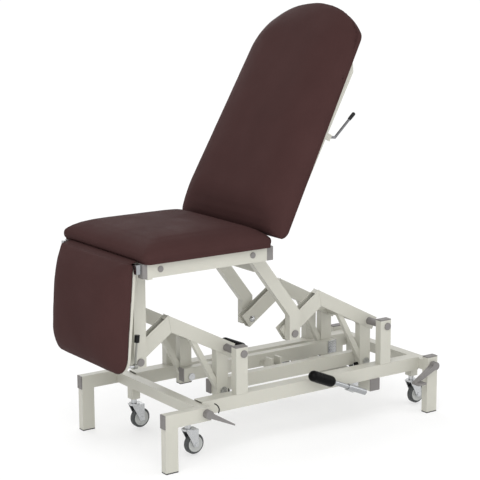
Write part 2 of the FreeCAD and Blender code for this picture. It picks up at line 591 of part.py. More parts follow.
for sign in NEAR_AND_FAR:
    ear_low, ear_top = D.back_pin_z - D.ear_half, D.back_pin_z + D.ear_half
    plate = prism([(block_head - D.ear_foot, seat_top), (block_head, seat_top),
                   (back_x + D.ear_half, ear_low), (back_x + D.ear_half, ear_top),
                   (back_x - D.ear_half, ear_top)], sign, D.ear_inner, ear_out)
    ears.append(fuse([plate, bore(back_x, D.back_pin_z, sign, D.ear_inner, lug_out, D.small_pin)]))
piece("back_hinge_ears", group(ears))
leg_x = at(D.rail_foot) - D.seat_cap - D.leg_pin_out
lug_inner = D.leg_half - D.lug_inset
hinge_in = D.leg_half + D.hinge_clear
blocks = sides(box, leg_x - D.hinge_long / 2, leg_x + D.hinge_long / 2, hinge_in, hinge_in + D.hinge_wide,
               D.hinge_low, D.hinge_top)
piece("leg_hinge_pins", group([
    fuse([item, bore(leg_x, D.leg_pin_z, sign, lug_inner, hinge_in + D.gap, D.small_pin)])
    for sign, item in zip(NEAR_AND_FAR, blocks)]))


def outline(corners, height):
    """A closed flat outline of lines and arcs; a corner is x, y and the radius of the arc that leaves it."""
    item = DOC.addObject("Sketcher::SketchObject", "Section")
    place(item, (-D.sketch_shift, -D.sketch_shift, height))
    count = len(corners)
    shifted = [(size(x) + D.sketch_shift, size(y) + D.sketch_shift) for x, y, _ in corners]
    spots = [FreeCAD.Vector(x.value, y.value, 0) for x, y in shifted]
    for i in range(count):
        start, end, radius = spots[i], spots[(i + 1) % count], corners[i][2]
        if radius is None:
            item.addGeometry(Part.LineSegment(start, end))
            continue
        chord = end - start
        left = FreeCAD.Vector(-chord.y, chord.x, 0) / chord.Length
        rise = math.sqrt(max(radius.value**2 - (chord.Length / 2)**2, 0))
        centre = (start + end) / 2 + left * rise
        angles = [math.atan2(spot.y - centre.y, spot.x - centre.x) for spot in (start, end)]
        circle = Part.Circle(centre, FreeCAD.Vector(0, 0, 1), radius.value)
        item.addGeometry(Part.ArcOfCircle(circle, *angles))
        number = item.addConstraint(Sketcher.Constraint("Radius", i, radius.value))
        item.setExpression("Constraints[%d]" % number, radius.text)
    for i in range(count):
        item.addConstraint(Sketcher.Constraint("Coincident", i, 2, (i + 1) % count, 1))
    for i, (x, y) in enumerate(shifted):
        for kind, value in (("DistanceX", x), ("DistanceY", y)):
            number = item.addConstraint(Sketcher.Constraint(kind, -1, 1, i, 1, value.value))
            item.setExpression("Constraints[%d]" % number, value.text)
    return item


def rounded(low, high, half, inset, low_corner, high_corner):
    """A rectangle from low to high in X, drawn in by an inset, with one corner radius at each end."""
    x0, x1, y = size(low) + inset, size(high) - inset, size(half) - inset
    return [(x0 + low_corner, -y, None), (x1 - high_corner, -y, high_corner), (x1, -y + high_corner, None),
            (x1, y - high_corner, high_corner), (x1 - high_corner, y, None), (x0 + low_corner, y, low_corner),
            (x0, y - low_corner, None), (x0, -y + low_corner, low_corner)]


def arched(low, high, half, inset, corner, shoulder):
    """A tapered rectangle whose far end swells to a wide arch between two round shoulders."""
    x0, top, wide = size(low) + inset, size(high) - inset, size(half) - inset
    y = wide - D.back_taper
    arc = D.back_top_arc
    reach = arc - shoulder
    aside = y - shoulder
    depth = reach * reach - aside * aside
    run = Size("sqrt(%s)" % depth.text, math.sqrt(depth.value))
    middle = top - arc
    turn_x = middle + run
    tip_x = middle + run * arc / reach
    tip_y = aside * arc / reach
    return [(x0 + corner, -wide, None), (turn_x, -y, shoulder), (tip_x, -tip_y, arc),
            (tip_x, tip_y, shoulder), (turn_x, y, None), (x0 + corner, wide, corner),
            (x0, wide - corner, None), (x0, -wide + corner, corner)]


# Cushion section heights as shares of the side and crown, and insets as shares of the draw-in and crown inset
SOFT_STEPS = ((0, 0, 1, 0), (0.4, 0, 0.3, 0), (1, 0, 0, 0), (1, 0.26, 0, 0.034), (1, 0.5, 0, 0.134),
              (1, 0.707, 0, 0.293), (1, 0.866, 0, 0.5), (1, 0.966, 0, 0.741), (1, 1, 0, 1))


def cushion(shape, low, high, half, corners, start, soft, crown, way):
    """A padded block with drawn-in sides and a crowned face, lofted through flat outlines."""
    steps = [(soft * up + crown * over, D.soft_draw * draw + D.crown_inset * toward)
             for up, over, draw, toward in SOFT_STEPS]
    loft = DOC.addObject("Part::Loft", "Cushion")
    loft.Sections = [outline(shape(low, high, half, inset, *corners), start + height * way)
                     for height, inset in steps]
    loft.Solid = True
    loft.Ruled = True
    return loft


def slab(shape, low, high, half, corners, start, thick):
    item = DOC.addObject("Part::Extrusion", "Slab")
    item.Base = outline(shape(low, high, half, D.board_in, *corners), start)
    item.DirMode = "Custom"
    item.Dir = FreeCAD.Vector(0, 0, 1)
    item.Solid = True
    bind(item, "LengthFwd", thick)
    return item


# Seat top
seat_spans = (at(D.seat_end), D.seat_half, (D.seat_corner, D.seat_corner))
piece("seat_board", slab(rounded, at(D.seat_foot) + D.board_step, *seat_spans, seat_top, D.seat_board))
piece("seat_cushion", cushion(rounded, at(D.seat_foot), *seat_spans, seat_top + D.seat_board,
                              D.seat_soft, D.seat_crown, 1))

# Back section, drawn flat along X from its hinge and then leaned up
back_low = -D.back_behind
back_high = D.back_deep - D.back_behind
back_points = [(D.back_tube_start, back_low), (D.back_tube_end - D.back_tube_slope, back_low),
               (D.back_tube_end, back_low + D.back_tube_lift), (D.back_tube_end, back_high),
               (D.back_tube_start, back_high)]
back_ends = [(D.back_tube_start, (back_low + back_high) / 2), (D.back_tube_end, back_high)]
back_tubes = [hollow(prism(back_points, sign, rail_side, rail_outside), back_ends) for sign in NEAR_AND_FAR]
back_bars = [tube((x, -rail_side, back_low), (x + D.back_bar, rail_side, back_high), "Y")
             for x in (D.back_tube_start, D.back_bar_high)]
back_lugs = [cut(item, [bore(0, 0, sign, lug_in, lug_out, D.small_pin + D.running)])
             for sign, item in zip(NEAR_AND_FAR, sides(box, -D.lug_half, D.back_tube_start, lug_in, lug_out,
                                                       -D.lug_half, D.lug_half))]
handle_y = rail_side + D.bar_thin / 2
handle_n = back_low - D.handle_drop
hub_half = D.handle_thick / 2
bracket_in = handle_y + hub_half + D.gap
bracket = box((D.handle_s - D.bracket_half, -bracket_in - D.bracket_thick, handle_n - D.handle_hub),
              (D.handle_s + D.bracket_half, -bracket_in, back_low))
handle_pin = bore(D.handle_s, handle_n, -1, handle_y - hub_half, bracket_in + D.bracket_thick, D.rod_radius)
back_frame = piece("back_frame", group(back_tubes + back_bars + back_lugs + [fuse([bracket, handle_pin])]))
bend_s = D.handle_s + sine(D.handle_turn) * D.handle_out
bend_n = handle_n + cosine(D.handle_turn) * D.handle_out
handle_hub = bore(D.handle_s, handle_n, -1, handle_y - hub_half, handle_y + hub_half, D.handle_hub)
handle = fuse([handle_hub, rod((D.handle_s, -handle_y, handle_n), D.handle_turn, D.handle_out, D.rod_radius),
               ball((bend_s, -handle_y, bend_n), D.rod_radius),
               rod((bend_s, -handle_y, bend_n), D.handle_lean, D.handle_reach, D.rod_radius)])
back_lever = piece("back_lever", cut(handle, [bore(D.handle_s, handle_n, -1, handle_y - hub_half,
                                                   handle_y + hub_half, D.rod_radius + D.running)]))
back_spans = (D.back_start, D.back_start + D.back_long, D.back_half, (D.back_corner, D.back_shoulder))
back_board = piece("back_board", slab(arched, *back_spans, back_high, D.back_board))
back_cushion = piece("back_cushion", cushion(arched, *back_spans, back_high + D.back_board,
                                             D.back_soft, D.back_crown, 1))
for item in (back_frame, back_lever, back_board, back_cushion):
    place(item, (back_x, 0, D.back_pin_z), -D.back_rise)

# Leg section, drawn flat along X from its hinge with its face down and then hung
leg_end = D.leg_start + D.leg_long
leg_face = D.leg_behind - D.leg_board
leg_spans = (leg_end, D.leg_half, (D.leg_top_corner, D.leg_corner), leg_face)
leg_board = piece("leg_board", slab(rounded, D.leg_board_start - D.board_in, *leg_spans, D.leg_board))
leg_cushion = piece("leg_cushion", cushion(rounded, D.leg_start, *leg_spans, D.leg_soft, D.leg_crown, -1))
lug_back = D.leg_behind + D.lug_deep
lug_end = D.leg_board_start - D.gap
lug_points = [(-D.lug_round, lug_back), (D.lug_long, lug_back), (D.lug_long, D.leg_behind),
              (lug_end, D.leg_behind), (lug_end, -D.lug_front), (-D.lug_round, -D.lug_front)]
lugs = [cut(prism(lug_points, sign, lug_inner + D.gap, lug_inner + D.lug_thick),
            [bore(0, 0, sign, lug_inner, lug_inner + D.lug_thick, D.small_pin + D.running)])
        for sign in NEAR_AND_FAR]
lever_y = D.leg_lever_in - D.leg_half
hub_low = D.leg_lever_behind - D.leg_hub_thick / 2
stud_long = hub_low + D.leg_hub_thick - D.leg_behind
stud = cylinder((D.leg_lever_s, lever_y, D.leg_behind), "Z", stud_long, D.rod_radius)
leg_lugs = piece("leg_lugs", group(lugs + [stud]))
lever_tip = D.leg_lever_s - D.leg_lever_long
lever_hub = cylinder((D.leg_lever_s, lever_y, hub_low), "Z", D.leg_hub_thick, D.leg_grip)
stick = cylinder((lever_tip, lever_y, D.leg_lever_behind), "X", D.leg_lever_long, D.leg_lever_rod)
grip = cylinder((lever_tip, lever_y, D.leg_lever_behind), "X", D.leg_grip_long, D.leg_grip)
leg_lever = piece("leg_lever", cut(fuse([lever_hub, stick, grip]), [
    cylinder((D.leg_lever_s, lever_y, hub_low), "Z", D.leg_hub_thick, D.rod_radius + D.running)]))
for item in (leg_board, leg_cushion, leg_lugs, leg_lever):
    place(item, (leg_x, 0, D.leg_pin_z), D.leg_lean + D.quarter_turn)

DOC.recompute()
for item in DOC.Objects:
    if "Invalid" in item.State or "Error" in item.State:
        raise RuntimeError("%s failed to build" % item.Name)
    if hasattr(item, "Shape") and (item.Shape.isNull() or not item.Shape.isValid()):
        raise RuntimeError("%s has no sound shape" % item.Name)
os.makedirs("parts", exist_ok=True)
for item in PIECES:
    item.Shape.exportStep("parts/%s.step" % item.Label)
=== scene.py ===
"""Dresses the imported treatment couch: finishes, upholstery, fittings and the studio."""
import math

import bmesh
import bpy
import numpy as np
from mathutils import Matrix, Vector


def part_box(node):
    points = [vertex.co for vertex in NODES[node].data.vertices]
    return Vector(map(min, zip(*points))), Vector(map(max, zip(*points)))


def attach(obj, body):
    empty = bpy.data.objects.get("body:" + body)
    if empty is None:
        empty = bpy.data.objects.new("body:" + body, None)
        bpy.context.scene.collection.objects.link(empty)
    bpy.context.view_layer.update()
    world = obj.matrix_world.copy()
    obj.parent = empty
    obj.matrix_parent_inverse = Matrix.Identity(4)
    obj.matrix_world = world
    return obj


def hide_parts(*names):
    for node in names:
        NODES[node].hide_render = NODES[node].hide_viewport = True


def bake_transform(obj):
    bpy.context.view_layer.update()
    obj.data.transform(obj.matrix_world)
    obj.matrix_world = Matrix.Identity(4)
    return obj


bl_info = {
    "name": "Treatment Couch",
    "version": (1, 0, 0),
    "blender": (4, 5, 0),
    "location": "View3D > Sidebar > Couch",
    "description": "Finishes, upholstery and fittings of a height-adjustable treatment couch",
    "category": "Object",
}

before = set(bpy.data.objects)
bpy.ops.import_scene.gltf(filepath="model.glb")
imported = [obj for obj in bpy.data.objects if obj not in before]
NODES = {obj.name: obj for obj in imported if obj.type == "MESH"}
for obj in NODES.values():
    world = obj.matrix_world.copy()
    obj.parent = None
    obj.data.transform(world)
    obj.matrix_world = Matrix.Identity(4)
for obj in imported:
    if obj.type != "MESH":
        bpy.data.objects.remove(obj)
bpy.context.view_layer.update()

# The photograph's width in pixels and the camera's sensor in millimetres.
PHOTO_WIDE = 480
SENSOR = 36.0

# Places on the couch at rest, in metres. Each cushion faces out from its board, and the hanger
# pins lie at one offset from the two pins that the arms turn on.
BASE_MIDDLE = 0.06283
BACK_HINGE = Vector((BASE_MIDDLE - 0.110, 0, 0.764))
BACK_LEAN = math.radians(62)
BACK_UP = Vector((math.cos(BACK_LEAN), 0, math.sin(BACK_LEAN)))
BACK_OUT = Vector((-math.sin(BACK_LEAN), 0, math.cos(BACK_LEAN)))
LEG_LEAN = math.radians(5)
LEG_OUT = Vector((-math.cos(LEG_LEAN), 0, math.sin(LEG_LEAN)))
SEAT_OUT = Vector((0, 0, 1))
PIN_XS = (BASE_MIDDLE - 0.253, BASE_MIDDLE + 0.415)
PIN_Z = 0.359
HANGER_PIN = (-0.380, 0.013)
SIDES = {"near": -1, "far": 1}

# Colours that come with the fittings.
FLOOR_PLUG = (0.02, 0.02, 0.02)
ZINC_GREY = (0.58, 0.59, 0.6)
NUT_GREY = (0.6, 0.61, 0.62)
CHROME_GREY = (0.40, 0.41, 0.42)
LEVER_GREY = (0.2, 0.2, 0.21)
ROD_GREY = (0.3, 0.3, 0.28)
PUMP_GREY = (0.22, 0.22, 0.23)
HUB_GREY = (0.43, 0.44, 0.43)
RUBBER_BLACK = (0.005, 0.005, 0.005)
GRIP_BLACK = (0.006, 0.006, 0.006)
HOOK_BLACK = (0.008, 0.008, 0.008)
TIP_BLACK = (0.012, 0.012, 0.013)
PAPER_WHITE = (0.96, 0.96, 0.96)


class CouchColours(bpy.types.PropertyGroup):
    """Colours that a maker would offer."""

    upholstery: bpy.props.FloatVectorProperty(
        name="Upholstery", description="Vinyl colour",
        subtype="COLOR", size=3, default=(0.056, 0.0275, 0.0265))
    frame: bpy.props.FloatVectorProperty(
        name="Frame", description="Powder coat colour",
        subtype="COLOR", size=3, default=(0.505, 0.497, 0.438))
    caps: bpy.props.FloatVectorProperty(
        name="Caps", description="Moulded cap colour",
        subtype="COLOR", size=3, default=(0.19, 0.18, 0.175))
    tyre: bpy.props.FloatVectorProperty(
        name="Tyres", description="Castor tread colour",
        subtype="COLOR", size=3, default=(0.05, 0.054, 0.055))


class CouchSizes(bpy.types.PropertyGroup):
    """Sizes of the dressed details."""

    voxel: bpy.props.FloatProperty(
        name="Cover mesh", description="Grid of the cushion covers",
        unit="LENGTH", default=0.0085)
    swell: bpy.props.FloatProperty(
        name="Swell", description="Most that a cushion cover may move",
        unit="LENGTH", default=0.006)
    grain: bpy.props.FloatProperty(
        name="Grain", description="Spacing of the vinyl grain",
        unit="LENGTH", default=0.0016)


class CouchCamera(bpy.types.PropertyGroup):
    """The photograph's viewpoint."""

    azimuth: bpy.props.FloatProperty(
        name="Azimuth", description="Degrees round the couch", default=-34.85)
    elevation: bpy.props.FloatProperty(
        name="Elevation", description="Degrees above the horizon", default=11.36)
    roll: bpy.props.FloatProperty(
        name="Roll", description="Degrees of tilt", default=-0.2)
    distance: bpy.props.FloatProperty(
        name="Distance", description="Target to camera", unit="LENGTH", default=5.64057)
    target_x: bpy.props.FloatProperty(
        name="Target X", description="Aim point", unit="LENGTH", default=-0.03197)
    target_z: bpy.props.FloatProperty(
        name="Target Z", description="Aim point", unit="LENGTH", default=0.71419)
    focal: bpy.props.FloatProperty(
        name="Focal length", description="In photo pixels", default=1521.74)


class Value:
    """A node's socket that takes part in Python arithmetic."""

    def __init__(self, nodes, socket):
        self.nodes = nodes
        self.socket = socket

    def maths(self, operation, first, second):
        return self.nodes.node("ShaderNodeMath", {"operation": operation},
                               {0: first, 1: second}).out(0)

    def __add__(self, other):
        return self.maths("ADD", self, other)

    def __radd__(self, other):
        return self.maths("ADD", other, self)

    def __sub__(self, other):
        return self.maths("SUBTRACT", self, other)

    def __rsub__(self, other):
        return self.maths("SUBTRACT", other, self)

    def __mul__(self, other):
        return self.maths("MULTIPLY", self, other)

    def __rmul__(self, other):
        return self.maths("MULTIPLY", other, self)


class Step:
    """One node; out() gives one of its sockets for arithmetic."""

    def __init__(self, nodes, node):
        self.nodes = nodes
        self.node = node

    def out(self, key):
        return Value(self.nodes, self.node.outputs[key])


class Nodes:
    """A node tree in which every node comes from one method."""

    def __init__(self, tree):
        self.tree = tree

    def node(self, kind, settings, inputs):
        node = self.tree.nodes.new(kind)
        for key, value in settings.items():
            setattr(node, key, value)
        for key, value in inputs.items():
            self.plug(node.inputs[key], value)
        return Step(self, node)

    def plug(self, socket, value):
        """Links a value to a socket, or sets the socket to a number, colour or name."""
        if isinstance(value, Value):
            self.tree.links.new(value.socket, socket)
        elif socket.type == "RGBA":
            socket.default_value = (*value, 1)
        else:
            socket.default_value = value

    def spread(self, value, low, high, to_low, to_high):
        """Maps a value from one range to another and holds it there outside."""
        return self.node("ShaderNodeMapRange", {}, {
            "Value": value, "From Min": low, "From Max": high,
            "To Min": to_low, "To Max": to_high}).out("Result")

    def seen(self):
        """1 for what the camera sees, directly or in a gloss, and 0 for light on a piece."""
        path = self.node("ShaderNodeLightPath", {}, {})
        return self.node("ShaderNodeMath", {"operation": "MAXIMUM"}, {
            0: path.out("Is Camera Ray"), 1: path.out("Is Glossy Ray")}).out(0)


class Finish(Nodes):
    """A procedural material with one Principled shader, patterned on object coordinates."""

    # Where the colour sockets stand on a Mix node, and the span that most noise lies in.
    MIX_FIRST, MIX_SECOND, MIX_RESULT = 6, 7, 2
    NOISE_LOW, NOISE_HIGH = 0.3, 0.7

    def __init__(self, name, **sockets):
        self.material = bpy.data.materials.new(name)
        self.material.use_nodes = True
        super().__init__(self.material.node_tree)
        self.shader = self.tree.nodes["Principled BSDF"]
        self.place = self.node("ShaderNodeTexCoord", {}, {}).out("Object")
        for key, value in sockets.items():
            self.feed(key.replace("_", " "), value)

    def feed(self, name, value):
        self.plug(self.shader.inputs[name], value)

    def noise(self, spacing, detail, roughness=0.5, stretch=None):
        place = self.place
        if stretch:
            place = self.node("ShaderNodeMapping", {}, {"Vector": place, "Scale": stretch}).out(0)
        return self.node("ShaderNodeTexNoise", {}, {
            "Vector": place, "Scale": 1 / spacing,
            "Detail": detail, "Roughness": roughness}).out("Fac")

    def cells(self, spacing):
        return self.node("ShaderNodeTexVoronoi", {"feature": "DISTANCE_TO_EDGE"}, {
            "Vector": self.place, "Scale": 1 / spacing}).out("Distance")

    def varied(self, noise, low, high):
        """Lets a noise run from low to high."""
        return self.spread(noise, self.NOISE_LOW, self.NOISE_HIGH, low, high)

    def blend(self, factor, first, second):
        return self.node("ShaderNodeMix", {"data_type": "RGBA"}, {
            0: factor, self.MIX_FIRST: first, self.MIX_SECOND: second}).out(self.MIX_RESULT)

    def bump(self, height, strength, distance):
        self.feed("Normal", self.node("ShaderNodeBump", {}, {
            "Height": height, "Strength": strength, "Distance": distance}).out(0))


def scaled(colour, amount):
    return tuple(channel * amount for channel in colour)


def powder_coat(name, colour):
    """Even sprayed paint with a fine orange peel and a faint change of tone."""
    finish = Finish(name, Coat_Weight=0.15, Coat_Roughness=0.3)
    tone = finish.spread(finish.noise(spacing=0.22, detail=3.0), 0.35, 0.65, 0.0, 1.0)
    finish.feed("Base Color", finish.blend(tone, scaled(colour, 0.965), colour))
    cloud = finish.noise(spacing=0.05, detail=2.0)
    finish.feed("Roughness", finish.varied(cloud, low=0.36, high=0.46))
    peel = finish.noise(spacing=0.0022, detail=1.0)
    finish.bump(peel, strength=0.06, distance=0.0006)
    return finish.material


def moulded(name, colour, roughness, spacing=0.0014, depth=0.12, shine=0.5):
    """Moulded plastic or rubber with a spark-eroded texture."""
    finish = Finish(name, Specular_IOR_Level=shine)
    tone = finish.noise(spacing=0.03, detail=3.0)
    finish.feed("Base Color", finish.blend(tone, scaled(colour, 0.9), scaled(colour, 1.1)))
    wear, change = finish.noise(spacing=0.012, detail=3.0), 0.07
    finish.feed("Roughness", finish.varied(wear, roughness - change, roughness + change))
    erosion = finish.noise(spacing, detail=2.0, roughness=0.6)
    finish.bump(erosion, strength=depth, distance=0.0005)
    return finish.material


def plated(name, colour, roughness, drag):
    """Plated steel with drawn streaks and a cloudy lustre."""
    finish = Finish(name, Metallic=1.0)
    cloud = finish.noise(spacing=0.025, detail=3.0)
    finish.feed("Base Color", finish.blend(cloud, scaled(colour, 0.86), colour))
    streak = finish.noise(spacing=0.02, detail=4.0, roughness=0.6, stretch=drag)
    finish.feed("Roughness", finish.varied(streak, roughness * 0.8, roughness * 1.25))
    finish.bump(streak, strength=0.05, distance=0.0004)
    return finish.material


def two_tone(name, upper, lower, height, metal):
    """One colour above a height and another, metal or not, below it."""
    finish = Finish(name, Specular_IOR_Level=0.2)
    rise = finish.node("ShaderNodeSeparateXYZ", {}, {0: finish.place}).out("Z")
    edge = 0.0005
    above = finish.spread(rise, height - edge, height + edge, 0.0, 1.0)
    tone = finish.noise(spacing=0.01, detail=3.0)
    below = finish.blend(tone, scaled(lower, 0.9), lower)
    finish.feed("Base Color", finish.blend(above, below, upper))
    finish.feed("Metallic", metal * (1 - above))
    finish.feed("Roughness", finish.varied(tone, low=0.3, high=0.42))
    texture = finish.noise(spacing=0.0014, detail=2.0, roughness=0.6)
    finish.bump(texture, strength=0.1, distance=0.0004)
    return finish.material


def vinyl(name, colour, spacing):
    """Upholstery vinyl: small pebbled grain with painted shade in its creases, faint pull lines
    and a soft sheen.
    """
    finish = Finish(name, Specular_IOR_Level=0.012)
    grain = finish.spread(finish.cells(spacing), 0.0, 0.22, 0.0, 1.0)
    pull = finish.noise(spacing=0.09, detail=3.0, roughness=0.55)
    fine = finish.noise(spacing * 0.45, detail=2.0, roughness=0.6)
    tone = finish.varied(finish.noise(spacing=0.16, detail=3.0), low=0.0, high=1.0)
    body = finish.blend(tone, scaled(colour, 0.93), scaled(colour, 1.06))
    # Painted shade: the grain's creases are darkened towards 0.6 of the vinyl's colour.
    crease_shade = finish.spread(grain, 0.0, 1.0, 0.12, 0.0)
    finish.feed("Base Color", finish.blend(crease_shade, body, scaled(colour, 0.6)))
    finish.feed("Roughness", finish.varied(pull, low=0.52, high=0.62) - grain * 0.03)
    finish.bump(grain * 0.7 + fine * 0.3 + pull * 0.8, strength=0.16, distance=0.0007)
    return finish.material


def board_face(name, colour):
    """White faced board with a faint fibre."""
    finish = Finish(name)
    fibre = finish.noise(spacing=0.02, detail=4.0, roughness=0.6, stretch=(1.0, 12.0, 12.0))
    finish.feed("Base Color", finish.blend(fibre, scaled(colour, 0.95), colour))
    finish.feed("Roughness", finish.varied(fibre, low=0.5, high=0.62))
    finish.bump(fibre, strength=0.05, distance=0.0004)
    return finish.material


def linked(name, data):
    """A new object in the scene."""
    item = bpy.data.objects.new(name, data)
    bpy.context.scene.collection.objects.link(item)
    return item


def coated(mesh, material):
    """Gives a mesh one material in place of any that it has."""
    mesh.materials.clear()
    mesh.materials.append(material)


def add_piece(name, mesh, material, body):
    """Puts a finished mesh in the scene with one material, riding on a body."""
    coated(mesh, material)
    piece = linked(name, mesh)
    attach(piece, body)
    return piece


def applied(piece):
    """Turns a piece with modifiers into a plain mesh."""
    graph = bpy.context.evaluated_depsgraph_get()
    mesh = bpy.data.meshes.new_from_object(piece.evaluated_get(graph))
    piece.modifiers.clear()
    old = piece.data
    piece.data = mesh
    bpy.data.meshes.remove(old)


def sealed(mesh, within):
    """Joins a mesh's doubled points and turns its faces outward."""
    bm = bmesh.new()
    bm.from_mesh(mesh)
    bmesh.ops.remove_doubles(bm, verts=bm.verts, dist=within)
    bmesh.ops.recalc_face_normals(bm, faces=bm.faces)
    bm.to_mesh(mesh)
    bm.free()
    return mesh


def smooth(mesh):
    for face in mesh.polygons:
        face.use_smooth = True


PAINTED = (
    "foot_legs", "stub_rails", "head_legs", "foot_cross_tube", "head_cross_tube", "main_rails",
    "posts", "pump_cross_tube", "castor_guides", "front_arm_beams", "front_arm_levers",
    "front_arm_braces", "front_torque_tube", "rear_arm_beams", "rear_arm_levers",
    "rear_arm_braces", "rear_torque_tube", "front_hangers", "rear_hangers", "seat_rails",
    "seat_cross_tubes", "link_bars", "back_frame", "ram_rod")
CAPS = ("seat_caps", "link_caps", "castor_pedal_foot", "castor_pedal_head", "arm_pivots",
        "hanger_pins")
ZINC = ("castor_stems_foot", "castor_stems_head", "castor_fork_foot_near", "castor_fork_foot_far",
        "castor_fork_head_near", "castor_fork_head_far", "back_hinge_ears", "leg_lugs",
        "pump_bearings", "link_pins")
CHROMED = ("pump_arms", "leg_hinge_pins")
BLACK = ("front_arm_buffers", "rear_arm_buffers", "pump_pads")
BOARDS = ("leg_board",)
WRAPPED = ("seat_board", "back_board")
TYRES = ("castor_wheel_foot_near", "castor_wheel_foot_far", "castor_wheel_head_near",
         "castor_wheel_head_far")

# Streaks of the plating, drawn out along Y or along X.
DRAWN_Y = (6.0, 1.0, 6.0)
DRAWN_X = (1.0, 8.0, 8.0)
UNDRAWN = (1.0, 1.0, 1.0)

# Heights at which the floor plugs and the leg lever's grip end.
PLUG_TOP = 0.02
GRIP_LOW = 0.4625


def dress(nodes, material):
    """Gives CAD nodes a finish."""
    for name in nodes:
        slots = NODES[name].material_slots
        if slots:
            for slot in slots:
                slot.material = material
        else:
            NODES[name].data.materials.append(material)


class COUCH_OT_frame(bpy.types.Operator):
    """Paint the tubes and finish the caps, plating, rubber and boards"""

    bl_idname = "couch.frame"
    bl_label = "Frame finishes"

    def execute(self, context):
        colours = context.scene.couch_colours
        dress(PAINTED, powder_coat("frame_paint", colours.frame))
        dress(CAPS, moulded("grey_caps", colours.caps, roughness=0.5))
        dress(("base_caps",), two_tone("base_caps", colours.caps, FLOOR_PLUG, PLUG_TOP, metal=0.0))
        dress(ZINC, plated("zinc_plate", ZINC_GREY, roughness=0.27, drag=DRAWN_Y))
        dress(CHROMED, plated("chrome_plate", CHROME_GREY, roughness=0.2, drag=DRAWN_X))
        dress(("back_lever",), plated("lever_plate", LEVER_GREY, roughness=0.22, drag=DRAWN_X))
        dress(BLACK, moulded("black_rubber", RUBBER_BLACK, roughness=0.3, shine=0.06))
        dress(("leg_lever",), two_tone("lever_grip", GRIP_BLACK, ROD_GREY, GRIP_LOW, metal=0.8))
        dress(BOARDS, board_face("board_face", colours.frame))
        dress(TYRES, moulded("tyre_tread", colours.tyre, roughness=0.6, spacing=0.003, depth=0.2))
        dress(("pump_unit",), powder_coat("pump_paint", PUMP_GREY))
        return {"FINISHED"}


# A cover's making: how near the board, in voxels, a point counts as seated on it, the share of
# the swell that the shape is first drawn in by, the air pressure and frames of the cloth, and the
# rounds of smoothing.
SEATED = 0.6
DRAWN_IN = 0.4
PRESSURE = 4.0
CLOTH_FRAMES = 20
SMOOTH_ROUNDS = 3
EVEN_ROUNDS = 100

# The share of its neighbours' height that a point takes in a round, in full where the cover
# faces out by EVEN_FACING + EVEN_FADE and not at all under EVEN_FACING.
EVEN_SHARE = 0.5
EVEN_FACING = 0.25
EVEN_FADE = 0.4

# How near two points of a CAD solid, or of a made mesh, are one.
SOLID_DOUBLE = 1e-5
MESH_DOUBLE = 1e-6


def read(values, kind, wide):
    """A mesh's values as rows of numbers."""
    rows = np.empty(len(values) * wide, int if kind == "vertices" else float)
    values.foreach_get(kind, rows)
    return rows.reshape(-1, wide)


def evened(mesh, away):
    """Spreads the crown's height from point to point, which takes a cover's creases out."""
    place, facing = read(mesh.vertices, "co", 3), read(mesh.vertices, "normal", 3)
    ends = read(mesh.edges, "vertices", 2)
    one, other = ends.T
    axis, count = np.array(away), len(place)
    degree = np.bincount(ends.ravel(), minlength=count)
    share = EVEN_SHARE * np.clip((facing @ axis - EVEN_FACING) / EVEN_FADE, 0, 1)
    height = place @ axis
    start = height.copy()
    for _ in range(EVEN_ROUNDS):
        total = np.bincount(one, height[other], count) + np.bincount(other, height[one], count)
        height += share * (total / degree - height)
    mesh.vertices.foreach_set("co", (place + np.outer(height - start, axis)).ravel())


def stretched(mesh, node, away):
    """Brings a cover's outline back to its solid's, across and along the board."""
    solid, place = read(NODES[node].data.vertices, "co", 3), read(mesh.vertices, "co", 3)
    across = np.array((0.0, 1.0, 0.0))
    for axis in (across, np.cross(across, np.array(away))):
        want, have = solid @ axis, place @ axis
        ratio = np.ptp(want) / np.ptp(have)
        target = (have - have.min()) * ratio + want.min()
        place += np.outer(target - have, axis)
    mesh.vertices.foreach_set("co", place.ravel())


def blow_up(cover, seated, cap):
    """Fills a cover with air as cloth, held where it is seated, no point moving past the cap."""
    scene, mesh = bpy.context.scene, cover.data
    start = [vertex.co.copy() for vertex in mesh.vertices]
    group = cover.vertex_groups.new(name="seated")
    group.add([index for index, held in enumerate(seated) if held], 1.0, "REPLACE")
    cloth = cover.modifiers.new("cover", "CLOTH").settings
    cloth.use_pressure = True
    cloth.uniform_pressure_force = PRESSURE
    cloth.vertex_group_mass = "seated"
    cloth.effector_weights.gravity = 0
    cloth.tension_stiffness = 30
    cloth.bending_stiffness = 8
    for number in range(1, CLOTH_FRAMES + 1):
        scene.frame_set(number)
    graph = bpy.context.evaluated_depsgraph_get()
    moved = [vertex.co.copy() for vertex in cover.evaluated_get(graph).data.vertices]
    cover.modifiers.clear()
    cover.vertex_groups.clear()
    scene.frame_set(1)
    for vertex, before, after in zip(mesh.vertices, start, moved):
        step = after - before
        if step.length > cap:
            step *= cap / step.length
        vertex.co = before + step


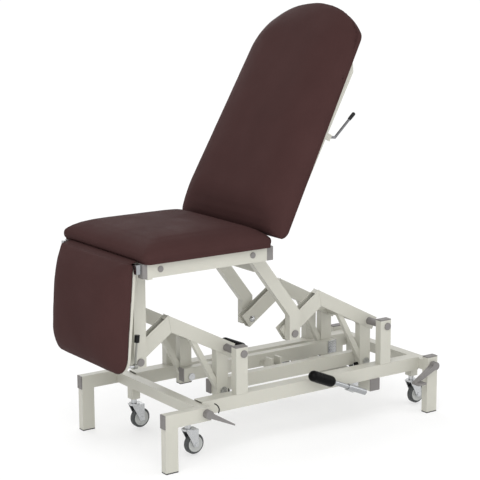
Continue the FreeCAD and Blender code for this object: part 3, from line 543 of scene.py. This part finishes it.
def swollen(node, name, away, voxel, cap, wrap):
    """A cushion cover: the solid drawn in, remeshed, blown up and wrapped over its board."""
    cover = linked(name, sealed(NODES[node].data.copy(), SOLID_DOUBLE))
    remesh = cover.modifiers.new("grid", "REMESH")
    remesh.mode = "VOXEL"
    remesh.voxel_size = voxel
    applied(cover)
    mesh = cover.data
    low = min(vertex.co.dot(away) for vertex in mesh.vertices)
    seated = [vertex.co.dot(away) - low < voxel * SEATED for vertex in mesh.vertices]
    normals = [vertex.normal.copy() for vertex in mesh.vertices]
    for vertex, normal, held in zip(mesh.vertices, normals, seated):
        if not held:
            vertex.co -= normal * cap * DRAWN_IN
    blow_up(cover, seated, cap)
    bm = bmesh.new()
    bm.from_mesh(mesh)
    for _ in range(SMOOTH_ROUNDS):
        free = [vertex for vertex in bm.verts if vertex.co.dot(away) - low > voxel * SEATED]
        bmesh.ops.smooth_vert(bm, verts=free, factor=0.5,
                              use_axis_x=True, use_axis_y=True, use_axis_z=True)
    bm.to_mesh(mesh)
    bm.free()
    evened(mesh, away)
    stretched(mesh, node, away)
    for vertex, held in zip(mesh.vertices, seated):
        if held:
            vertex.co -= away * wrap
    finer = cover.modifiers.new("finer", "SUBSURF")
    finer.levels = 1
    finer.render_levels = 1
    applied(cover)
    smooth(cover.data)
    return cover


def ramp(value, low, high):
    """Runs smoothly from 0 at low to 1 at high."""
    share = min(max((value - low) / (high - low), 0.0), 1.0)
    return share * share * (3 - 2 * share)


# The back, by the distance from its hinge and the rise over its board: where its upper corners
# are drawn in and let go again and by how much, and where and how much its crown is filled out.
CORNER_IN = (0.68, 0.80)
CORNER_OUT = (0.81, 0.885)
CORNER_RISE = (0.004, 0.055)
CORNER_DRAW = 0.1
BACK_FULL = 0.14
BACK_FULL_RISE = 0.015
BACK_FULL_RUN = (0.02, 0.14)

# The leg section, by the distance from its upper and lower edges: how much its crown falls away
# and is filled out.
LEG_FALL = 0.22
LEG_FALL_TOP = (0.0, 0.06)
LEG_FULL = 0.15
LEG_FULL_TOP = (0.02, 0.14)
LEG_FULL_BOTTOM = (0.0, 0.1)

# The seat's profile, where 1 leaves it as it is and less fills its rim.
SEAT_FULL = 0.78


def shaped_back(mesh, away):
    """Fills the back out above the seat and draws its upper corners in, most at the crown."""
    for vertex in mesh.vertices:
        spot = vertex.co - BACK_HINGE
        run, rise = abs(spot.dot(BACK_UP)), spot.dot(away)
        corner = ramp(run, *CORNER_IN) * (1 - ramp(run, *CORNER_OUT))
        vertex.co.y *= 1 - CORNER_DRAW * corner * ramp(rise, *CORNER_RISE)
        full = max(rise - BACK_FULL_RISE, 0)
        vertex.co += away * BACK_FULL * full * ramp(run, *BACK_FULL_RUN)


def shaped_leg(mesh, away):
    """Fills the leg section out in the middle and lets its crown fall towards the upper edge."""
    heights = [vertex.co.z for vertex in mesh.vertices]
    top, bottom = max(heights), min(heights)
    low = min(vertex.co.dot(away) for vertex in mesh.vertices)
    for vertex in mesh.vertices:
        down, up = top - vertex.co.z, vertex.co.z - bottom
        fall = 1 - ramp(down, *LEG_FALL_TOP)
        full = ramp(down, *LEG_FULL_TOP) * ramp(up, *LEG_FULL_BOTTOM)
        vertex.co += away * (LEG_FULL * full - LEG_FALL * fall) * (vertex.co.dot(away) - low)


def shaped_seat(mesh, away):
    """Fills the seat's crown out towards its rim."""
    heights = [vertex.co.dot(away) for vertex in mesh.vertices]
    low, deep = min(heights), max(heights) - min(heights)
    for vertex, height in zip(mesh.vertices, heights):
        share = (height - low) / deep
        vertex.co += away * deep * (share ** SEAT_FULL - share)


# Each cushion: its node, its cover, its body, the way it faces, how far its cover goes over the
# board, and its shape.
CUSHIONS = (("seat_cushion", "seat_cover", "seat", SEAT_OUT, 0.012, shaped_seat),
            ("back_cushion", "back_cover", "back", BACK_OUT, 0.010, shaped_back),
            ("leg_cushion", "leg_cover", "leg_rest", LEG_OUT, 0.0, shaped_leg))

# The strip over the leg hinge: its line from seat to leg section, half its width, its thickness
# and its steps across.
FLAP_LINE = ((-0.6735, 0.7470), (-0.6800, 0.7466), (-0.6880, 0.7454), (-0.6960, 0.7432),
             (-0.7030, 0.7404), (-0.7080, 0.7384))
FLAP_HALF = 0.232
FLAP_THICK = 0.0016
FLAP_STEPS = 24


class COUCH_OT_upholstery(bpy.types.Operator):
    """Blow up the three vinyl covers over their boards and close the gap at the leg hinge"""

    bl_idname = "couch.upholstery"
    bl_label = "Upholstery"

    def execute(self, context):
        colours, sizes = context.scene.couch_colours, context.scene.couch_sizes
        skin = vinyl("vinyl_cover", colours.upholstery, sizes.grain)
        for node, name, body, away, wrap, shaped in CUSHIONS:
            cover = swollen(node, name, away, sizes.voxel, sizes.swell, wrap)
            shaped(cover.data, away)
            coated(cover.data, skin)
            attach(cover, body)
            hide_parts(node)
        dress(WRAPPED, skin)
        self.flap(skin)
        return {"FINISHED"}

    def flap(self, skin):
        """A strip of the cover's vinyl that closes the gap over the leg hinge."""
        rims = [(BASE_MIDDLE + x, z) for x, z in FLAP_LINE]
        rims += [(x, z - FLAP_THICK) for x, z in rims[::-1]]
        points = [(x, FLAP_HALF * (2 * step / FLAP_STEPS - 1), z)
                  for step in range(FLAP_STEPS + 1) for x, z in rims]
        mesh = joined("hinge_flap", [(points, skinned(FLAP_STEPS + 1, len(rims)))])
        coated(mesh, skin)
        flap = linked("hinge_flap", mesh)
        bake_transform(flap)


def skinned(rings, count, loop=False):
    """Faces over rings of points, capped at both ends unless the last ring meets the first."""
    faces = []
    for ring in range(rings if loop else rings - 1):
        here, there = ring * count, (ring + 1) % rings * count
        for index in range(count):
            after = (index + 1) % count
            faces.append((here + index, here + after, there + after, there + index))
    if not loop:
        last = (rings - 1) * count
        faces += [tuple(range(count)), tuple(range(last, last + count))]
    return faces


def lathe(profile, centre, steps):
    """A closed profile of (radius, along Y) turned round Y."""
    points = [(centre[0] + radius * math.cos(turn), centre[1] + along,
               centre[2] + radius * math.sin(turn))
              for turn in (math.tau * step / steps for step in range(steps))
              for radius, along in profile]
    return points, skinned(steps, len(profile), loop=True)


def sweep(path, radii, sides):
    """A round rod along a path with a radius at each point, closed at both ends."""
    path = [Vector(spot) for spot in path]
    points, side = [], None
    for index, spot in enumerate(path):
        ahead = path[min(index + 1, len(path) - 1)] - path[max(index - 1, 0)]
        ahead.normalize()
        if side is None:
            side = ahead.orthogonal().normalized()
        side = (side - ahead * side.dot(ahead)).normalized()
        over = ahead.cross(side)
        for step in range(sides):
            turn = math.tau * step / sides
            out = side * math.cos(turn) + over * math.sin(turn)
            points.append(tuple(spot + out * radii[index]))
    return points, skinned(len(path), sides)


def joined(name, parts):
    """One mesh from several lists of points and faces, faces outward and smooth."""
    points, faces = [], []
    for some, around in parts:
        faces += [tuple(index + len(points) for index in face) for face in around]
        points += some
    mesh = bpy.data.meshes.new(name)
    mesh.from_pydata(points, [], faces)
    sealed(mesh, MESH_DOUBLE)
    smooth(mesh)
    return mesh


REPEAT_INPUTS = (("Points", "NodeSocketGeometry"), ("Template", "NodeSocketObject"),
                 ("Spread", "NodeSocketFloat"), ("Seed", "NodeSocketInt"),
                 ("Finish", "NodeSocketMaterial"))

# Where a Random Value node has its least, most and result as plain numbers.
RANDOM_LEAST, RANDOM_MOST, RANDOM_RESULT = 2, 3, 1


def repeat_tree():
    """Geometry nodes that put a template on every point, turned to the point's aim."""
    tree = bpy.data.node_groups.new("repeat_on_points", "GeometryNodeTree")
    keys = {}
    for name, kind in REPEAT_INPUTS:
        keys[name] = tree.interface.new_socket(name, in_out="INPUT", socket_type=kind).identifier
    tree.interface.new_socket("Pieces", in_out="OUTPUT", socket_type="NodeSocketGeometry")
    nodes = Nodes(tree)
    source = nodes.node("NodeGroupInput", {}, {})
    template = nodes.node("GeometryNodeObjectInfo", {}, {"Object": source.out("Template")})
    aim = nodes.node("GeometryNodeInputNamedAttribute", {"data_type": "FLOAT_VECTOR"},
                     {"Name": "aim"})
    turn = nodes.node("FunctionNodeAlignRotationToVector", {"axis": "Z"},
                      {"Vector": aim.out("Attribute")})
    spread = source.out("Spread")
    scale = nodes.node("FunctionNodeRandomValue", {}, {
        RANDOM_LEAST: 1 - spread, RANDOM_MOST: 1 + spread, "Seed": source.out("Seed")})
    put = nodes.node("GeometryNodeInstanceOnPoints", {}, {
        "Points": source.out("Points"), "Instance": template.out("Geometry"),
        "Rotation": turn.out("Rotation"), "Scale": scale.out(RANDOM_RESULT)})
    real = nodes.node("GeometryNodeRealizeInstances", {}, {"Geometry": put.out("Instances")})
    finish = nodes.node("GeometryNodeSetMaterial", {}, {
        "Geometry": real.out("Geometry"), "Material": source.out("Finish")})
    nodes.node("NodeGroupOutput", {}, {"Pieces": finish.out("Geometry")})
    return tree, keys


def repeated(name, tree, keys, template, spots, spread, seed, material, body):
    """A piece made of one template at many (point, aim) spots."""
    mesh = bpy.data.meshes.new(name)
    mesh.from_pydata([tuple(point) for point, _ in spots], [], [])
    aims = mesh.attributes.new("aim", "FLOAT_VECTOR", "POINT")
    aims.data.foreach_set("vector", [value for _, aim in spots for value in aim])
    piece = linked(name, mesh)
    modifier = piece.modifiers.new("repeat", "NODES")
    modifier.node_group = tree
    for key, value in (("Template", template), ("Spread", spread), ("Seed", seed),
                       ("Finish", material)):
        modifier[keys[key]] = value
    applied(piece)
    smooth(piece.data)
    coated(piece.data, material)
    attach(piece, body)
    return piece


def seam(start, end, aim, spacing):
    """Evenly spaced (point, aim) spots from one point to another."""
    start, end, aim = Vector(start), Vector(end), Vector(aim).normalized()
    count = max(2, round((end - start).length / spacing))
    return [(start.lerp(end, step / (count - 1)), aim) for step in range(count)]


# Each lamp's name, place, aim, width and power.
COUCH_MIDDLE = (0, 0, 0.6)
LAMPS = (("key_lamp", (-2.2, -2.1, 3.1), COUCH_MIDDLE, 2.8, 52),
         ("fill_lamp", (3.2, -2.8, 2.2), COUCH_MIDDLE, 2.8, 32),
         ("rear_lamp", (0.5, 3.2, 3.0), COUCH_MIDDLE, 2.8, 40),
         ("low_lamp", (-1.6, -3.0, 0.9), (0, 0, 0.3), 2.2, 20))

# The floor's reach, its plain white, the distances between which it turns from half paper to
# plain white, and the world's strength on the couch and as it is seen.
FLOOR_REACH = 40.0
FLOOR_WHITE = 1.04
PAPER_NEAR, PAPER_FAR = 0.8, 1.35
PAPER_SHARE = 0.5
SKY_LIGHT, SKY_SEEN = 0.8, 1.0


class COUCH_OT_studio(bpy.types.Operator):
    """Set the pale floor, the lamps and the photograph's camera"""

    bl_idname = "couch.studio"
    bl_label = "Studio"

    def execute(self, context):
        scene = context.scene
        scene.view_settings.view_transform = "Standard"
        self.floor()
        self.world(scene)
        for lamp in LAMPS:
            self.lamp(*lamp)
        self.camera(scene)
        return {"FINISHED"}

    def floor(self):
        """A white sheet that takes the couch's shadow and runs out to plain white further off."""
        mesh = bpy.data.meshes.new("studio_floor")
        corners = ((-1, -1), (1, -1), (1, 1), (-1, 1))
        mesh.from_pydata([(x * FLOOR_REACH, y * FLOOR_REACH, 0) for x, y in corners], [],
                         [(0, 1, 2, 3)])
        floor = linked("studio_floor", mesh)
        finish = Finish("studio_paper", Roughness=0.9, Base_Color=PAPER_WHITE)
        mesh.materials.append(finish.material)
        glow = finish.node("ShaderNodeEmission", {}, {"Color": (1, 1, 1), "Strength": FLOOR_WHITE})
        away = finish.node("ShaderNodeVectorMath", {"operation": "LENGTH"},
                           {0: finish.place}).out("Value")
        plain = finish.spread(away, PAPER_NEAR, PAPER_FAR, PAPER_SHARE, 1.0)
        mix = finish.node("ShaderNodeMixShader", {}, {
            0: finish.seen() * plain, 1: Value(finish, finish.shader.outputs[0]), 2: glow.out(0)})
        finish.plug(finish.tree.nodes["Material Output"].inputs["Surface"], mix.out(0))

    def world(self, scene):
        """White all round, a little dimmer as light than as it is seen."""
        scene.world = bpy.data.worlds.new("studio_world")
        scene.world.use_nodes = True
        nodes = Nodes(scene.world.node_tree)
        sky = nodes.tree.nodes["Background"]
        nodes.plug(sky.inputs["Color"], (1, 1, 1))
        nodes.plug(sky.inputs["Strength"],
                   nodes.spread(nodes.seen(), 0.0, 1.0, SKY_LIGHT, SKY_SEEN))

    def lamp(self, name, spot, aim, wide, power):
        data = bpy.data.lights.new(name, "AREA")
        data.size = wide
        data.energy = power
        light = linked(name, data)
        light.location = spot
        way = Vector(aim) - Vector(spot)
        light.rotation_euler = way.to_track_quat("-Z", "Y").to_euler()

    def camera(self, scene):
        view = scene.couch_camera
        turn, rise = math.radians(view.azimuth), math.radians(view.elevation)
        roll = math.radians(view.roll)
        back = Vector((math.sin(turn) * math.cos(rise), -math.cos(turn) * math.cos(rise),
                       math.sin(rise)))
        level = Vector((math.cos(turn), math.sin(turn), 0))
        over = back.cross(level)
        right = level * math.cos(roll) + over * math.sin(roll)
        up = over * math.cos(roll) - level * math.sin(roll)
        data = bpy.data.cameras.new("photo_camera")
        data.sensor_width = SENSOR
        data.lens = SENSOR * view.focal / PHOTO_WIDE
        pose = Matrix((right, up, back)).transposed().to_4x4()
        pose.translation = Vector((view.target_x, 0, view.target_z)) + back * view.distance
        camera = linked("photo_camera", data)
        camera.matrix_world = pose
        scene.camera = camera


# A hub's profile as radius and height over the wheel's face.
HUB_PROFILE = ((0.0058, -0.001), (0.0058, 0.0024), (0.0085, 0.0027), (0.0105, 0.0012),
               (0.0235, 0.0009), (0.0255, 0.0019), (0.0285, 0.0016), (0.0295, -0.001))
HUB_STEPS = 40


class COUCH_OT_castor_hubs(bpy.types.Operator):
    """Press a pale hub disc into both faces of every castor wheel"""

    bl_idname = "couch.castor_hubs"
    bl_label = "Castor hubs"

    def execute(self, context):
        finish = moulded("hub_plastic", HUB_GREY, roughness=0.35)
        for end in ("foot", "head"):
            for side in SIDES:
                node, name = "castor_wheel_%s_%s" % (end, side), "hub_%s_%s" % (end, side)
                low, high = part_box(node)
                half = (high.y - low.y) / 2
                discs = [lathe([(radius, sign * (half + along)) for radius, along in HUB_PROFILE],
                               (low + high) / 2, HUB_STEPS) for sign in SIDES.values()]
                piece = add_piece(name, joined(name, discs), finish, node)
        return {"FINISHED"}


# The back lever's bend and tip, as distances along the back and out from it, its side of the
# couch, and its sleeve, as shares of the way from bend to tip with a radius at each.
LEVER_BEND = (0.42162, -0.06648)
LEVER_TIP = (0.53413, -0.10522)
LEVER_Y = -0.255
SLEEVE = ((0.74, 0.0056), (0.75, 0.0066), (0.97, 0.0072), (1.0, 0.0066), (1.02, 0.004))
SLEEVE_SIDES = 20


class COUCH_OT_lever_tip(bpy.types.Operator):
    """Slip a dark sleeve over the end of the back's release lever"""

    bl_idname = "couch.lever_tip"
    bl_label = "Lever tip"

    def execute(self, context):
        hinge = BACK_HINGE + Vector((0, LEVER_Y, 0))
        bend, tip = (hinge + BACK_UP * along + BACK_OUT * out
                     for along, out in (LEVER_BEND, LEVER_TIP))
        rod = sweep([bend.lerp(tip, run) for run, _ in SLEEVE],
                    [radius for _, radius in SLEEVE], SLEEVE_SIDES)
        finish = moulded("tip_plastic", TIP_BLACK, roughness=0.4, shine=0.2)
        piece = add_piece("lever_tip", joined("lever_tip", [rod]), finish, "back_release")
        return {"FINISHED"}


# The hook's line from the pedal's rod down, its side of the couch and its wire.
HOOK_LINE = ((-0.428, 0.2245), (-0.421, 0.2205), (-0.414, 0.2135), (-0.4095, 0.206),
             (-0.4085, 0.199), (-0.4095, 0.193), (-0.412, 0.187))
HOOK_Y = -0.32
HOOK_RADIUS = 0.0022
HOOK_SIDES = 12


class COUCH_OT_pedal_hook(bpy.types.Operator):
    """Hang the black wire hook beside the foot castor pedal"""

    bl_idname = "couch.pedal_hook"
    bl_label = "Pedal hook"

    def execute(self, context):
        rod = sweep([(BASE_MIDDLE + x, HOOK_Y, z) for x, z in HOOK_LINE],
                    [HOOK_RADIUS] * len(HOOK_LINE), HOOK_SIDES)
        finish = moulded("hook_wire", HOOK_BLACK, roughness=0.4, shine=0.2)
        piece = add_piece("pedal_hook", joined("pedal_hook", [rod]), finish, "base")
        return {"FINISHED"}


# The nut's and the bead's profiles as radius and height, and the beads' spacing, the spread of
# their size and its seed.
NUT_PROFILE = ((0.0, 0.0), (0.0115, 0.0), (0.0115, 0.004), (0.0095, 0.0048), (0.0088, 0.0075),
               (0.006, 0.0105), (0.0025, 0.0118), (0.0, 0.012))
NUT_STEPS = 24
BEAD_PROFILE = ((0.0, -0.0006), (0.0021, -0.0004), (0.0017, 0.0005), (0.0, 0.0009))
BEAD_STEPS = 8
BEAD_SPACING = 0.0026
BEAD_SPREAD = 0.18
BEAD_SEED = 7

# Weld places: a post's foot and head faces from its pin, its outer and inner faces, and the
# rail's top; an arm's outer and inner faces, and its welds' ends from its pin; the hangers'
# middles and half lengths under the seat rails, those rails' faces, and their underside.
POST_FOOT, POST_HEAD = -0.033, 0.017
POST_OUTER, POST_INNER = 0.249, 0.219
RAIL_TOP = 0.213
ARM_OUTER, ARM_INNER = 0.137, 0.107
ARM_WELDS = (((-0.245, 0.154), (-0.232, 0.091)), ((-0.042, -0.007), (0.008, -0.0324)))
HANGER_TOPS = ((PIN_XS[0] + HANGER_PIN[0], 0.024), (PIN_XS[1] + HANGER_PIN[0] - 0.185, 0.029))
SEAT_RAIL_FACE = 0.168
SEAT_RAIL_LOW = 0.692


class COUCH_OT_fasteners(bpy.types.Operator):
    """Set dome nuts on the hanger pins and weld beads along the tube joints"""

    bl_idname = "couch.fasteners"
    bl_label = "Nuts and welds"

    def execute(self, context):
        tree, keys = repeat_tree()
        nut = self.template("nut_shape", NUT_PROFILE, NUT_STEPS)
        bead = self.template("bead_shape", BEAD_PROFILE, BEAD_STEPS)
        zinc = plated("nut_plate", NUT_GREY, roughness=0.25, drag=UNDRAWN)
        along, rise = HANGER_PIN
        spots = [(Vector((x + along, sign * ARM_INNER, PIN_Z + rise)), Vector((0, -sign, 0)))
                 for x in PIN_XS for sign in SIDES.values()]
        repeated("pin_nuts", tree, keys, nut, spots, 0.0, 1, zinc, "seat")
        paint = powder_coat("weld_paint", scaled(context.scene.couch_colours.frame, 0.97))
        for name, body, lines in self.welds():
            spots = [spot for line in lines for spot in seam(*line, BEAD_SPACING)]
            repeated(name, tree, keys, bead, spots, BEAD_SPREAD, BEAD_SEED, paint, body)
        for item in (nut, bead):
            mesh = item.data
            bpy.data.objects.remove(item)
            bpy.data.meshes.remove(mesh)
        bpy.data.node_groups.remove(tree)
        return {"FINISHED"}

    def template(self, name, profile, steps):
        """A turned shape standing on the origin along Z."""
        points, faces = lathe(profile, (0, 0, 0), steps)
        return linked(name, joined(name, [([(x, -z, y) for x, y, z in points], faces)]))

    def welds(self):
        """Weld lines of each body as start, end and outward aim."""
        base, seat, arms = [], [], []
        for pin_x in PIN_XS:
            foot, head = pin_x + POST_FOOT, pin_x + POST_HEAD
            for sign in SIDES.values():
                outer, inner = sign * POST_OUTER, sign * POST_INNER
                base += [
                    ((foot, outer, RAIL_TOP), (head, outer, RAIL_TOP), (0, sign, 0)),
                    ((foot, outer, RAIL_TOP), (foot, inner, RAIL_TOP), (-1, 0, 1)),
                    ((head, outer, RAIL_TOP), (head, inner, RAIL_TOP), (1, 0, 1))]
        for end, pin_x in zip(("front", "rear"), PIN_XS):
            lines = []
            for sign in SIDES.values():
                for face, way in ((ARM_OUTER, sign), (ARM_INNER, -sign)):
                    for weld in ARM_WELDS:
                        start, stop = ((pin_x + x, sign * face, PIN_Z + z) for x, z in weld)
                        lines.append((start, stop, (0, way, 0)))
            arms.append(("%s_arm_welds" % end, "%s_arm" % end, lines))
        for x, half in HANGER_TOPS:
            for sign in SIDES.values():
                face = sign * SEAT_RAIL_FACE
                seat.append(((x - half, face, SEAT_RAIL_LOW), (x + half, face, SEAT_RAIL_LOW),
                             (0, sign, -1)))
        return [("base_welds", "base", base), ("seat_welds", "seat", seat)] + arms


OPERATORS = (COUCH_OT_studio, COUCH_OT_frame, COUCH_OT_upholstery, COUCH_OT_castor_hubs,
             COUCH_OT_lever_tip, COUCH_OT_pedal_hook, COUCH_OT_fasteners)


class COUCH_PT_panel(bpy.types.Panel):
    """The couch's pieces in the sidebar"""

    bl_idname = "COUCH_PT_panel"
    bl_label = "Treatment Couch"
    bl_space_type = "VIEW_3D"
    bl_region_type = "UI"
    bl_category = "Couch"

    def draw(self, context):
        for operator in OPERATORS:
            self.layout.operator(operator.bl_idname)


GROUPS = (("couch_colours", CouchColours), ("couch_sizes", CouchSizes),
          ("couch_camera", CouchCamera))


def register():
    for name, group in GROUPS:
        bpy.utils.register_class(group)
        setattr(bpy.types.Scene, name, bpy.props.PointerProperty(type=group))
    for item in OPERATORS + (COUCH_PT_panel,):
        bpy.utils.register_class(item)


def unregister():
    for item in (COUCH_PT_panel,) + OPERATORS[::-1]:
        bpy.utils.unregister_class(item)
    for name, group in GROUPS[::-1]:
        delattr(bpy.types.Scene, name)
        bpy.utils.unregister_class(group)


def main():
    register()
    for operator in OPERATORS:
        space, name = operator.bl_idname.split(".")
        getattr(getattr(bpy.ops, space), name)()


if __name__ == "__main__":
    main()
